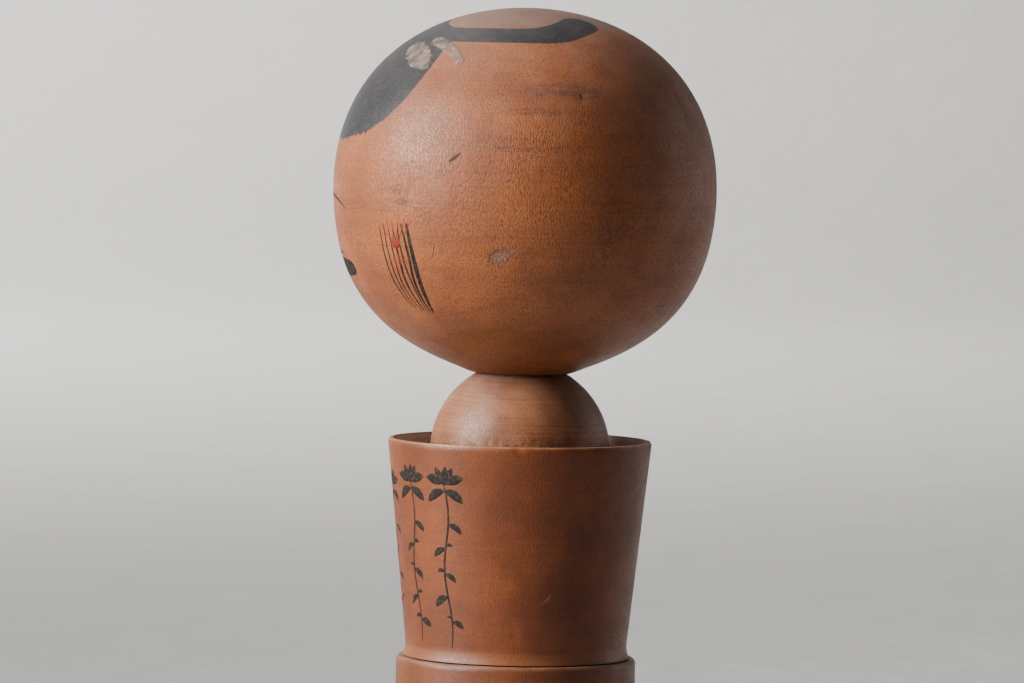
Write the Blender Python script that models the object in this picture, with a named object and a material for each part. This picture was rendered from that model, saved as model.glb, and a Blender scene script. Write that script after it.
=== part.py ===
"""Kokeshi doll, one shaku tall: a turned ball head on a separate neck, a domed
shoulder standing in the hollowed top of a tapered upper body, and a lower body
that the upper one is stacked on.

Every piece is lathe work on one upright axis. The doll stands on z = 0 with its
axis on x = y = 0 and faces -Y. Lengths are metres, +Z is up.

The head and its neck peg turn without limit in the shoulder. The peg's swollen
foot sits in an undercut chamber, so it can't be pulled out.
"""

import math

import bmesh
import bpy
from mathutils import Vector

MM = 0.001

# ---------------------------------------------------------------- driving sizes
FIT_GAP = 0.3 * MM  # air left between any two neighbouring pieces

# Heights above the table
TIER_JOINT_Z = 108.0 * MM  # top of the lower body
RIM_Z = 173.6 * MM  # rim of the hollowed upper body
DOME_CENTRE_Z = 170.0 * MM
SEAT_Z = 193.4 * MM  # flat under the head
HEAD_WIDEST_Z = 248.9 * MM
DOLL_HEIGHT = 303.0 * MM

# Head
HEAD_RADIUS = 57.5 * MM
HEAD_SEAT_RADIUS = 13.8 * MM
HEAD_CROWN_HANDLE = 31.5 * MM  # how flat the crown starts
HEAD_CHEEK_HANDLE_UP = 34.7 * MM  # how upright the side leaves the widest line
HEAD_CHEEK_HANDLE_DOWN = 38.2 * MM
HEAD_CHIN_HANDLE = 21.4 * MM
HEAD_CHIN_SLOPE = math.radians(18.5)  # underside against the level seat

# Shoulder dome
DOME_RADIUS = 27.0 * MM
DOME_SPIGOT_RADIUS = 13.0 * MM
DOME_SPIGOT_LENGTH = 9.6 * MM

# Upper body, a cup that narrows downwards
RIM_RADIUS = 39.6 * MM
RIM_WALL = 1.8 * MM
RECESS_DEPTH = 8.0 * MM
RECESS_COVE = 1.5 * MM  # round inner corner of the recess
UPPER_FOOT_RADIUS = 33.3 * MM
FOOT_FLARE = 0.8 * MM  # the foot spreads by this much over its last stretch
FOOT_FLARE_HEIGHT = 4.0 * MM

# Lower body
SHOULDER_RADIUS = 36.0 * MM
SHOULDER_ROUND = 0.9 * MM  # rounded top edge
LOWER_WAIST_RADIUS = 36.2 * MM
LOWER_BASE_RADIUS = 41.0 * MM
BASE_CHAMFER = 1.2 * MM
BASE_HOLLOW_RADIUS = 29.0 * MM
BASE_HOLLOW_DEPTH = 1.6 * MM

# Neck peg
PEG_RADIUS = 7.0 * MM
PEG_RUNNING_GAP = 0.4 * MM  # in the dome's bore, where it turns
PEG_IN_HEAD = 18.0 * MM
PEG_FOOT_RADIUS = 8.2 * MM
PEG_FOOT_HEIGHT = 8.4 * MM
PEG_FOOT_ROUND = 2.0 * MM
PEG_TIP_CHAMFER = 1.0 * MM

# Dowel between the two tiers of the body
DOWEL_RADIUS = 9.0 * MM
DOWEL_DEPTH = 19.6 * MM  # into each tier
DOWEL_CHAMFER = 1.2 * MM

# Facets around the axis, and along the curves of each outline
BODY_SEGMENTS = 56
INNER_SEGMENTS = 32
CURVE_STEPS = 10
SMALL_CURVE_STEPS = 3

# Heights that follow from the sizes above
DOME_TOP_Z = SEAT_Z - FIT_GAP
RECESS_FLOOR_Z = RIM_Z - RECESS_DEPTH
DOME_BOTTOM_Z = RECESS_FLOOR_Z + FIT_GAP
SPIGOT_BOTTOM_Z = DOME_BOTTOM_Z - DOME_SPIGOT_LENGTH
SPIGOT_SOCKET_Z = SPIGOT_BOTTOM_Z - FIT_GAP
PEG_FOOT_TOP_Z = SPIGOT_BOTTOM_Z - FIT_GAP
PEG_FOOT_BOTTOM_Z = PEG_FOOT_TOP_Z - PEG_FOOT_HEIGHT
PEG_CHAMBER_Z = PEG_FOOT_BOTTOM_Z - FIT_GAP
PEG_CHAMBER_RADIUS = PEG_FOOT_RADIUS + 2 * FIT_GAP
UPPER_FOOT_Z = TIER_JOINT_Z + FIT_GAP


# ------------------------------------------------------------- outlines (r, z)
def bezier(start, start_handle, end_handle, end, steps):
    """Points of a cubic curve after its start, its end included."""
    corners = [Vector(p) for p in (start, start_handle, end_handle, end)]
    points = []
    for step in range(1, steps + 1):
        t = step / steps
        weights = ((1 - t) ** 3, 3 * t * (1 - t) ** 2, 3 * t**2 * (1 - t), t**3)
        point = sum((w * c for w, c in zip(weights, corners)), Vector((0, 0)))
        points.append(tuple(point))
    return points


def arc(centre, radius, start_degrees, end_degrees, steps):
    """Points of a circular arc, both ends included."""
    points = []
    for step in range(steps + 1):
        turn = start_degrees + (end_degrees - start_degrees) * step / steps
        angle = math.radians(turn)
        points.append((centre[0] + radius * math.cos(angle), centre[1] + radius * math.sin(angle)))
    return points


def head_outline():
    """From the crown down the outside to the seat, then up into the peg's socket."""
    crown = (0, DOLL_HEIGHT)
    widest = (HEAD_RADIUS, HEAD_WIDEST_Z)
    seat_edge = (HEAD_SEAT_RADIUS, SEAT_Z)
    chin_handle = (
        HEAD_SEAT_RADIUS + HEAD_CHIN_HANDLE * math.cos(HEAD_CHIN_SLOPE),
        SEAT_Z + HEAD_CHIN_HANDLE * math.sin(HEAD_CHIN_SLOPE),
    )
    upper = bezier(
        crown,
        (HEAD_CROWN_HANDLE, DOLL_HEIGHT),
        (HEAD_RADIUS, HEAD_WIDEST_Z + HEAD_CHEEK_HANDLE_UP),
        widest,
        CURVE_STEPS,
    )
    lower = bezier(
        widest,
        (HEAD_RADIUS, HEAD_WIDEST_Z - HEAD_CHEEK_HANDLE_DOWN),
        chin_handle,
        seat_edge,
        CURVE_STEPS,
    )
    socket_radius = PEG_RADIUS + FIT_GAP
    socket_top = SEAT_Z + PEG_IN_HEAD + FIT_GAP
    socket = [(socket_radius, SEAT_Z), (socket_radius, socket_top), (0, socket_top)]
    return [crown] + upper + lower + socket


def neck_peg_outline():
    """From the tip inside the head down to the swollen foot."""
    tip = SEAT_Z + PEG_IN_HEAD
    upper_round = arc(
        (PEG_FOOT_RADIUS - PEG_FOOT_ROUND, PEG_FOOT_TOP_Z - PEG_FOOT_ROUND),
        PEG_FOOT_ROUND, 60, 0, SMALL_CURVE_STEPS,
    )
    lower_round = arc(
        (PEG_FOOT_RADIUS - PEG_FOOT_ROUND, PEG_FOOT_BOTTOM_Z + PEG_FOOT_ROUND),
        PEG_FOOT_ROUND, 0, -90, SMALL_CURVE_STEPS,
    )
    shaft = [
        (0, tip),
        (PEG_RADIUS - PEG_TIP_CHAMFER, tip),
        (PEG_RADIUS, tip - PEG_TIP_CHAMFER),
        (PEG_RADIUS, PEG_FOOT_TOP_Z),
    ]
    return shaft + upper_round + lower_round + [(0, PEG_FOOT_BOTTOM_Z)]


def shoulder_dome_outline():
    """A closed ring: over the dome, down its skirt and spigot, and up the bore."""
    top_rise = (DOME_TOP_Z - DOME_CENTRE_Z) / DOME_RADIUS
    bore = PEG_RADIUS + PEG_RUNNING_GAP
    dome = arc(
        (0, DOME_CENTRE_Z), DOME_RADIUS, math.degrees(math.asin(top_rise)), 0, CURVE_STEPS
    )
    foot = [
        (DOME_RADIUS, DOME_BOTTOM_Z),
        (DOME_SPIGOT_RADIUS, DOME_BOTTOM_Z),
        (DOME_SPIGOT_RADIUS, SPIGOT_BOTTOM_Z),
        (bore, SPIGOT_BOTTOM_Z),
        (bore, DOME_TOP_Z),
    ]
    return dome + foot


def upper_body_outline():
    """From the bottom of the peg's chamber over the rim and down the straight taper."""
    spigot_socket = DOME_SPIGOT_RADIUS + FIT_GAP
    inner_radius = RIM_RADIUS - RIM_WALL
    inside = [
        (0, PEG_CHAMBER_Z),
        (PEG_CHAMBER_RADIUS, PEG_CHAMBER_Z),
        (PEG_CHAMBER_RADIUS, SPIGOT_SOCKET_Z),
        (spigot_socket, SPIGOT_SOCKET_Z),
        (spigot_socket, RECESS_FLOOR_Z),
    ]
    cove = arc(
        (inner_radius - RECESS_COVE, RECESS_FLOOR_Z + RECESS_COVE),
        RECESS_COVE, -90, 0, SMALL_CURVE_STEPS,
    )
    half_wall = RIM_WALL / 2
    rim = arc((RIM_RADIUS - half_wall, RIM_Z - half_wall), half_wall, 180, 0, 2 * SMALL_CURVE_STEPS)
    foot = [(UPPER_FOOT_RADIUS, UPPER_FOOT_Z + FOOT_FLARE_HEIGHT)]
    foot += bezier(
        foot[0],
        (UPPER_FOOT_RADIUS, UPPER_FOOT_Z + FOOT_FLARE_HEIGHT / 2),
        (UPPER_FOOT_RADIUS + FOOT_FLARE / 3, UPPER_FOOT_Z + FOOT_FLARE_HEIGHT / 4),
        (UPPER_FOOT_RADIUS + FOOT_FLARE, UPPER_FOOT_Z),
        SMALL_CURVE_STEPS,
    )
    return inside + cove + rim + foot + dowel_socket(UPPER_FOOT_Z, 1)


def lower_body_outline():
    """From the dowel's socket out over the shoulder and down to the foot ring."""
    shoulder = arc(
        (SHOULDER_RADIUS - SHOULDER_ROUND, TIER_JOINT_Z - SHOULDER_ROUND),
        SHOULDER_ROUND, 90, 0, SMALL_CURVE_STEPS,
    )
    side = bezier(
        shoulder[-1],
        (LOWER_WAIST_RADIUS, TIER_JOINT_Z * 2 / 3),
        (LOWER_WAIST_RADIUS, TIER_JOINT_Z / 3),
        (LOWER_BASE_RADIUS, BASE_CHAMFER),
        CURVE_STEPS,
    )
    base = [
        (LOWER_BASE_RADIUS - BASE_CHAMFER, 0),
        (BASE_HOLLOW_RADIUS + BASE_HOLLOW_DEPTH, 0),
        (BASE_HOLLOW_RADIUS, BASE_HOLLOW_DEPTH),
        (0, BASE_HOLLOW_DEPTH),
    ]
    socket = list(reversed(dowel_socket(TIER_JOINT_Z, -1)))
    return socket + shoulder + side + base


def body_dowel_outline():
    """A plain chamfered dowel, half of it in each tier."""
    top = TIER_JOINT_Z + DOWEL_DEPTH
    bottom = TIER_JOINT_Z - DOWEL_DEPTH
    tip_radius = DOWEL_RADIUS - DOWEL_CHAMFER
    return [
        (0, top),
        (tip_radius, top),
        (DOWEL_RADIUS, top - DOWEL_CHAMFER),
        (DOWEL_RADIUS, bottom + DOWEL_CHAMFER),
        (tip_radius, bottom),
        (0, bottom),
    ]


def dowel_socket(mouth_z, direction):
    """The dowel's hole from its mouth to its centre, upwards (1) or downwards (-1)."""
    radius = DOWEL_RADIUS + FIT_GAP
    end_z = TIER_JOINT_Z + direction * (DOWEL_DEPTH + FIT_GAP)
    return [(radius, mouth_z), (radius, end_z), (0, end_z)]


# --------------------------------------------------------------------- making
def wood(name, colour, roughness):
    """A plain finish with the wood's own colour."""
    material = bpy.data.materials.new(name)
    material.use_nodes = True
    shader = material.node_tree.nodes["Principled BSDF"]
    shader.inputs["Base Color"].default_value = (*colour, 1)
    shader.inputs["Roughness"].default_value = roughness
    shader.inputs["Metallic"].default_value = 0
    return material


def turned_piece(name, outline, segments, origin_z, material, parent, is_ring=False):
    """Spins an outline (r, z) round the axis, and puts the piece's origin at origin_z on it."""
    model = bmesh.new()
    points = [model.verts.new((r, 0, z - origin_z)) for r, z in outline]
    pairs = list(zip(points, points[1:]))
    if is_ring:
        pairs.append((points[-1], points[0]))
    edges = [model.edges.new(pair) for pair in pairs]
    bmesh.ops.spin(
        model,
        geom=points + edges,
        cent=(0, 0, 0),
        axis=(0, 0, 1),
        angle=2 * math.pi,
        steps=segments,
        use_merge=True,
    )
    bmesh.ops.remove_doubles(model, verts=model.verts, dist=0.001 * MM)
    bmesh.ops.recalc_face_normals(model, faces=model.faces)

    mesh = bpy.data.meshes.new(name)
    model.to_mesh(mesh)
    model.free()
    mesh.shade_smooth()
    mesh.set_sharp_from_angle(angle=math.radians(35))
    mesh.materials.append(material)

    piece = bpy.data.objects.new(name, mesh)
    bpy.context.collection.objects.link(piece)
    piece.parent = parent
    piece.location.z = origin_z - parent.location.z
    return piece


def guide_empty(name, height):
    empty = bpy.data.objects.new(name, None)
    empty.location.z = height
    bpy.context.collection.objects.link(empty)
    return empty


def build_body(axis):
    turned_piece(
        "lower_body", lower_body_outline(), BODY_SEGMENTS, 0,
        wood("lower_body_wood", (0.14, 0.052, 0.020), 0.42), axis,
    )
    turned_piece(
        "upper_body", upper_body_outline(), BODY_SEGMENTS, UPPER_FOOT_Z,
        wood("upper_body_wood", (0.17, 0.062, 0.022), 0.42), axis,
    )
    turned_piece(
        "shoulder_dome", shoulder_dome_outline(), BODY_SEGMENTS, DOME_BOTTOM_Z,
        wood("shoulder_dome_wood", (0.30, 0.135, 0.062), 0.45), axis, is_ring=True,
    )
    turned_piece(
        "body_dowel", body_dowel_outline(), INNER_SEGMENTS, TIER_JOINT_Z,
        wood("body_dowel_wood", (0.48, 0.31, 0.17), 0.7), axis,
    )


def build_head(pivot):
    turned_piece(
        "head", head_outline(), BODY_SEGMENTS, SEAT_Z,
        wood("head_wood", (0.25, 0.098, 0.038), 0.38), pivot,
    )
    turned_piece(
        "neck_peg", neck_peg_outline(), INNER_SEGMENTS, SEAT_Z,
        wood("neck_peg_wood", (0.45, 0.28, 0.15), 0.6), pivot,
    )


def main():
    for old in list(bpy.data.objects):
        bpy.data.objects.remove(old)
    build_body(guide_empty("doll_axis", 0))
    build_head(guide_empty("head_pivot", SEAT_Z))


main()
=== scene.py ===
"""Looks of a kokeshi doll: turned and stained wood, brushed hair and face, a brushed
vine on the body, and the dust, dents and paper scraps of many years on a shelf.

The doll stands on z = 0 and faces -Y. An angle on it is measured from the face
towards the doll's own left (+X). Lengths are metres.
"""

import math
import random

import bmesh
import bpy
import numpy as np
from bpy.props import FloatProperty, FloatVectorProperty, IntProperty, PointerProperty
from mathutils import Matrix, Vector


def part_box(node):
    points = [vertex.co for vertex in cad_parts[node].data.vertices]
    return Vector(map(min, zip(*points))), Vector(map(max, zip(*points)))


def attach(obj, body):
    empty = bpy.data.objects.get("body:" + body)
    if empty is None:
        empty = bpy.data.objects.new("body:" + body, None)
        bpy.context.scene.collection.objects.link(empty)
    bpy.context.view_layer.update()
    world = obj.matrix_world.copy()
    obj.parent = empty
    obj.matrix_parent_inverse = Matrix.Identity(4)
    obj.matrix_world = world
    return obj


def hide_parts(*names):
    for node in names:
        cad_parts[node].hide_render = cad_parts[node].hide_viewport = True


bl_info = {
    "name": "Kokeshi Doll Looks",
    "version": (1, 0, 0),
    "blender": (4, 5, 0),
    "location": "3D View > Sidebar > Kokeshi",
    "description": "Turned wood, brushed paint and wear for a kokeshi doll",
    "category": "Object",
}

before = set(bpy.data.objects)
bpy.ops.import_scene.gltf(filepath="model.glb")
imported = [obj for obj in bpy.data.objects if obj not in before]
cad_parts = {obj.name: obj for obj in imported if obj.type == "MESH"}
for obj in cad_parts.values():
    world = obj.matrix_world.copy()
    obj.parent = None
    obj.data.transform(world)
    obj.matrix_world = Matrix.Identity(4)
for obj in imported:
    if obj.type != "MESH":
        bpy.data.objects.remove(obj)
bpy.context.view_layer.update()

MM = 0.001
SEAT_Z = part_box("head")[0].z
CROWN_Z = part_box("head")[1].z
RIM_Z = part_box("upper_body")[1].z
TIER_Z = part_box("lower_body")[1].z
CORNER_TURN = math.radians(35)  # a sharper turn in an outline is a real corner
SCAR = (102.5, 229.9)  # degrees and height in mm of the scar on the head
HOLLOW_DEPTH = 7 * MM  # of what shows in the upper body's hollow
HOLLOW_RADIUS = 38.3 * MM  # of that hollow's wall
BODY_RADIUS = 36.5 * MM  # of the upper body, half way up the painted vines
SHARP_EDGE = math.radians(40)  # shading breaks at an edge that is sharper than this
THINNEST_STROKE = 0.03 * MM  # half width of the finest hair of a brush
BEAD_SPACING = 0.5 * MM  # between the points along a stroke


# ------------------------------------------------------------------ properties
def length(name, description, default):
    """A length in metres that the panel shows."""
    return FloatProperty(
        name=name, description=description, default=default, min=0, precision=5, unit="LENGTH"
    )


def angle(name, description, degrees):
    return FloatProperty(name=name, description=description, default=math.radians(degrees), subtype="ANGLE")


def colour(name, description, default):
    """An opaque colour from its red, green and blue."""
    return FloatVectorProperty(
        name=name, description=description, default=(*default, 1), size=4, min=0, max=1, subtype="COLOR"
    )


class DollSizes(bpy.types.PropertyGroup):
    """Sizes of what is shaped or painted on the turned pieces"""

    steps_around: IntProperty(
        name="Steps Around", description="Facets around each turned piece", default=288, min=24, max=400
    )
    outline_step: length("Outline Step", "Spacing of the points along a visible outline", 1.0 * MM)
    edge_round: length("Edge Round", "How far each sharp edge is rubbed down", 0.3 * MM)
    out_of_round: length("Out of Round", "How far the shrunk wood strays from a true circle", 0.08 * MM)
    paint_film: length("Paint Film", "Thickness of a brush stroke", 0.03 * MM)
    fringe_bottom: length("Fringe Bottom", "Height of the fringe's lower edge", 262.6 * MM)
    fringe_top: length("Fringe Top", "Height at which the fringe meets the crown", 293.0 * MM)
    fringe_half_angle: angle("Fringe Half Angle", "From the middle of the face to the fringe's side", 71.2)
    crown_radius: length("Crown Radius", "Outer radius of the black crown bands", 36.0 * MM)
    crown_back: length("Crown Back", "Where the crown bands are cut straight at the back", 26.6 * MM)
    disc_radius: length("Disc Radius", "Radius of the bare patch on the crown", 28.9 * MM)
    disc_half_depth: length("Disc Half Depth", "Half depth of the bare patch, cut straight", 18.2 * MM)
    band_gap: length("Band Gap", "Bare gap between the crown bands at the back", 16.5 * MM)
    lock_top: length("Side Lock Top", "Height at which the side locks begin", 239.3 * MM)
    lock_bottom: length("Side Lock Bottom", "Height at which the side locks end", 212.7 * MM)
    lock_strokes: IntProperty(
        name="Side Lock Strokes", description="Fine strokes in each side lock", default=7, min=2, max=20
    )
    eye_height: length("Eye Height", "Height of the eyes", 224.6 * MM)
    vine_top: length("Vine Top", "Height at which the painted vines begin", 166.0 * MM)
    vine_bottom: length("Vine Bottom", "Height at which the painted vines end", 112.5 * MM)


class DollColours(bpy.types.PropertyGroup):
    """Colours of the wood, the paint and what has settled on them"""

    head_light: colour("Head Light", "Lighter wood of the head", (0.25, 0.077, 0.024))
    head_dark: colour("Head Dark", "Darker wood of the head", (0.19, 0.056, 0.019))
    body_light: colour("Body Light", "Lighter wood of the body", (0.155, 0.041, 0.0115))
    body_dark: colour("Body Dark", "Darker wood of the body", (0.095, 0.024, 0.0075))
    dome_light: colour("Shoulder Light", "Lighter wood of the shoulder", (0.235, 0.092, 0.037))
    dome_dark: colour("Shoulder Dark", "Darker wood of the shoulder", (0.15, 0.053, 0.021))
    fleck: colour("Fleck", "Stain caught in the pores", (0.05, 0.016, 0.008))
    bare_light: colour("Bare Wood Light", "Unstained wood inside the joints", (0.52, 0.34, 0.19))
    bare_dark: colour("Bare Wood Dark", "Late growth of the unstained wood", (0.36, 0.21, 0.11))
    hair: colour("Hair", "Black of the hair", (0.013, 0.0145, 0.0165))
    ink: colour("Ink", "Brushed ink on the body", (0.008, 0.007, 0.0065))
    red: colour("Red", "Red of the mouth and of the spots by the side locks", (0.14, 0.013, 0.009))
    paper: colour("Paper", "Old paper stuck to the head", (0.165, 0.14, 0.12))
    dust: colour("Dust", "Dust on what looks up", (0.25, 0.21, 0.185))


class StudioSettings(bpy.types.PropertyGroup):
    """Camera, lights and the pale room"""

    azimuth: angle("Camera Azimuth", "Camera's turn around the doll, from the face", 110)
    elevation: angle("Camera Elevation", "Camera's height above the horizon", 2.85)
    tilt: angle("Camera Tilt", "Camera's roll about its own line of sight", 1.15)
    distance: length("Camera Distance", "From the camera to its aim", 1.952)
    aim_height: length("Aim Height", "Height of the camera's aim", 202.8 * MM)
    lens: FloatProperty(name="Lens", description="Focal length in millimetres", default=228.5)
    key_power: FloatProperty(
        name="Key Light", description="Power of the window light, shared by its two panes",
        default=21, min=0, unit="POWER",
    )
    bounce_power: FloatProperty(
        name="Wall Bounce", description="Power of the light that comes back from the far wall",
        default=3.8, min=0, unit="POWER",
    )
    room_light: FloatProperty(
        name="Room Light", description="Strength of the light that fills the room", default=0.24, min=0
    )
    ceiling_power: FloatProperty(
        name="Ceiling Light", description="Power of the light over the floor and wall behind the doll",
        default=132, min=0, unit="POWER",
    )
    wall: colour("Wall", "Pale plaster of the wall", (0.80, 0.785, 0.77))
    floor: colour("Floor", "Pale grey of the floor", (0.60, 0.595, 0.585))


# --------------------------------------------------------------- outline curves
def cad_outline(node):
    """A turned node's outline as (radius, height) points on its +X side.

    It starts at its upper end on the axis, or at the top of a ring, runs down the
    outside and comes back inside.
    """
    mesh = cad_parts[node].data
    links = {}
    for polygon in mesh.polygons:
        for edge in polygon.edge_keys:
            ends = [mesh.vertices[i].co for i in edge]
            if any(abs(p.y) > 1e-6 or p.x < -1e-6 for p in ends):
                continue
            a, b = [(round(p.x, 6), round(p.z, 6)) for p in ends]
            if a != b:
                links.setdefault(a, set()).add(b)
                links.setdefault(b, set()).add(a)
    ends = [p for p, joined in links.items() if len(joined) == 1]
    is_ring = not ends
    start = max(ends or links, key=lambda p: (p[1], -p[0]))
    outline = [start]
    while True:
        onward = [p for p in links[outline[-1]] if p not in outline]
        if not onward:
            break
        outline.append(max(onward))
    if is_ring:
        return np.array(outline + [start])
    # A flat end may have no point of its own on the axis
    first = [(0, start[1])] * (start[0] > 0)
    last = [(0, outline[-1][1])] * (outline[-1][0] > 0)
    return np.array(first + outline + last)


def with_guards(points):
    """Adds a point near each end of a long straight stretch, so that it stays straight."""
    steps = np.linalg.norm(np.diff(points, axis=0), axis=1)
    guarded = [points[0]]
    for i, step in enumerate(steps):
        direction = (points[i + 1] - points[i]) / step
        before = steps[i - 1] if i > 0 else step
        after = steps[i + 1] if i + 1 < len(steps) else step
        if step > 3 * before:
            guarded.append(points[i] + direction * before)
        if step > 3 * after:
            guarded.append(points[i + 1] - direction * after)
        guarded.append(points[i + 1])
    return np.array(guarded)


def curve_through(points, spacing):
    """Evenly spaced points of a smooth curve through the given ones."""
    points = np.array(points, float)
    knots = np.concatenate([[0], np.cumsum(np.linalg.norm(np.diff(points, axis=0), axis=1))])
    slopes = np.gradient(points, knots, axis=0, edge_order=2 if len(points) > 2 else 1)
    at = np.linspace(0, knots[-1], max(1, round(knots[-1] / spacing)) + 1)
    i = np.clip(np.searchsorted(knots, at, side="right") - 1, 0, len(points) - 2)
    width = (knots[i + 1] - knots[i])[:, None]
    t = (at - knots[i])[:, None] / width
    return (
        points[i] * (1 + 2 * t) * (1 - t) ** 2
        + slopes[i] * width * t * (1 - t) ** 2
        + points[i + 1] * t**2 * (3 - 2 * t)
        + slopes[i + 1] * width * t**2 * (t - 1)
    )


def rounded_corner(before, corner, after, radius):
    """Four points that take the edge off a corner."""
    start = corner + (before - corner) * min(0.45, radius / np.linalg.norm(before - corner))
    end = corner + (after - corner) * min(0.45, radius / np.linalg.norm(after - corner))
    return [start * (1 - t) ** 2 + corner * 2 * t * (1 - t) + end * t**2 for t in (0, 1 / 3, 2 / 3, 1)]


def fine_outline(node, core_radius, core_top, sizes):
    """The node's outline with smooth curves and rubbed edges.

    Points inside the core, which other pieces hide, are set wider apart.
    """
    rough = cad_outline(node)
    steps = np.diff(rough, axis=0)
    headings = np.arctan2(steps[:, 1], steps[:, 0])
    turns = np.abs((np.diff(headings) + math.pi) % (2 * math.pi) - math.pi)
    corners = [0] + [i + 1 for i, turn in enumerate(turns) if turn > CORNER_TURN] + [len(rough) - 1]

    runs = []
    for first, last in zip(corners, corners[1:]):
        run = rough[first : last + 1]
        is_hidden = (run[:, 0] < core_radius).all() and (run[:, 1] < core_top).all()
        runs.append(curve_through(with_guards(run), sizes.outline_step * (4 if is_hidden else 1)))

    outline = [runs[0][0]]
    for run, following in zip(runs, runs[1:]):
        outline += list(run[1:-1])
        outline += rounded_corner(run[-2], run[-1], following[1], sizes.edge_round)
    return np.array(outline + list(runs[-1][1:]))


def outer_radius(outline, height):
    """Radius of the outside at a height."""
    widest = 0
    for (r0, z0), (r1, z1) in zip(outline, outline[1:]):
        if z0 != z1 and min(z0, z1) <= height <= max(z0, z1):
            widest = max(widest, r0 + (r1 - r0) * (height - z0) / (z1 - z0))
    return widest


def on_surface(outline, degrees, height):
    """The point of a turned surface at an angle from the face and a height."""
    radius, turn = outer_radius(outline, height), math.radians(degrees)
    return Vector((radius * math.sin(turn), -radius * math.cos(turn), height))


# ------------------------------------------------------------------ node helper
GROUPS = {}


class Nodes:
    """Adds nodes to one tree. An input is given by name or number, as a value or a socket."""

    def __init__(self, tree):
        self.tree = tree

    def add(self, kind, inputs=None, **settings):
        node = self.tree.nodes.new(kind)
        for name, value in settings.items():
            setattr(node, name, value)
        for key, value in (inputs or {}).items():
            self.feed(node.inputs[key], value)
        return node

    def feed(self, socket, value):
        if isinstance(value, bpy.types.NodeSocket):
            self.tree.links.new(value, socket)
        else:
            socket.default_value = value

    def math(self, operation, *values, clamp=False):
        inputs = dict(enumerate(values))
        return self.add("ShaderNodeMath", inputs, operation=operation, use_clamp=clamp).outputs[0]

    def vector_math(self, operation, *values):
        node = self.add("ShaderNodeVectorMath", dict(enumerate(values)), operation=operation)
        return node.outputs["Value" if operation == "LENGTH" else "Vector"]

    def combine(self, x, y, z):
        return self.add("ShaderNodeCombineXYZ", {0: x, 1: y, 2: z}).outputs[0]

    def separate(self, vector):
        return self.add("ShaderNodeSeparateXYZ", {0: vector}).outputs

    def ramp(self, value, low, high, to_low=0, to_high=1):
        """Eases from to_low to to_high as the value goes from low to high."""
        inputs = {0: value, 1: low, 2: high, 3: to_low, 4: to_high}
        return self.add("ShaderNodeMapRange", inputs, interpolation_type="SMOOTHSTEP").outputs[0]

    def noise(self, vector, scale=1, detail=2, roughness=0.5):
        inputs = {"Vector": vector, "Scale": scale, "Detail": detail, "Roughness": roughness}
        return self.add("ShaderNodeTexNoise", inputs).outputs[0]

    def mix(self, factor, first, second, blend="MIX"):
        inputs = {0: factor, 6: first, 7: second}
        return self.add("ShaderNodeMix", inputs, data_type="RGBA", blend_type=blend).outputs[2]

    def group(self, maker, inputs):
        """The outputs of a shared group, which is built the first time that it is used."""
        if maker not in GROUPS:
            GROUPS[maker] = maker()
        return self.add("ShaderNodeGroup", inputs, node_tree=GROUPS[maker]).outputs

    def place(self):
        return self.add("ShaderNodeTexCoord").outputs["Object"]

    def attribute(self, name):
        return self.add("ShaderNodeAttribute", attribute_name=name).outputs["Fac"]

    def field(self, kind, **inputs):
        """A value that a geometry node reads at each point."""
        return self.add("GeometryNodeInput" + kind, inputs).outputs[0]

    def flow(self, kind, geometry, inputs=None, **settings):
        """What a geometry node makes of the geometry in its first socket."""
        return self.add("GeometryNode" + kind, {0: geometry, **(inputs or {})}, **settings).outputs[0]

    def smooth_with(self, geometry, material):
        """The end of every tree: smooth, plain geometry with its material."""
        geometry = self.flow("SetShadeSmooth", geometry)
        geometry = self.flow("RealizeInstances", geometry)
        return self.flow("SetMaterial", geometry, {"Material": material})


def new_group(name, kind, inputs, outputs):
    """A node group whose sockets are given as (name, type, default or None)."""
    tree = bpy.data.node_groups.new(name, kind)
    for side, sockets in (("INPUT", inputs), ("OUTPUT", outputs)):
        for socket_name, socket_type, default in sockets:
            socket = tree.interface.new_socket(
                socket_name, in_out=side, socket_type="NodeSocket" + socket_type
            )
            if default is not None:
                socket.default_value = default
    nodes = Nodes(tree)
    return tree, nodes, nodes.add("NodeGroupInput").outputs, nodes.add("NodeGroupOutput").inputs


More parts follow.
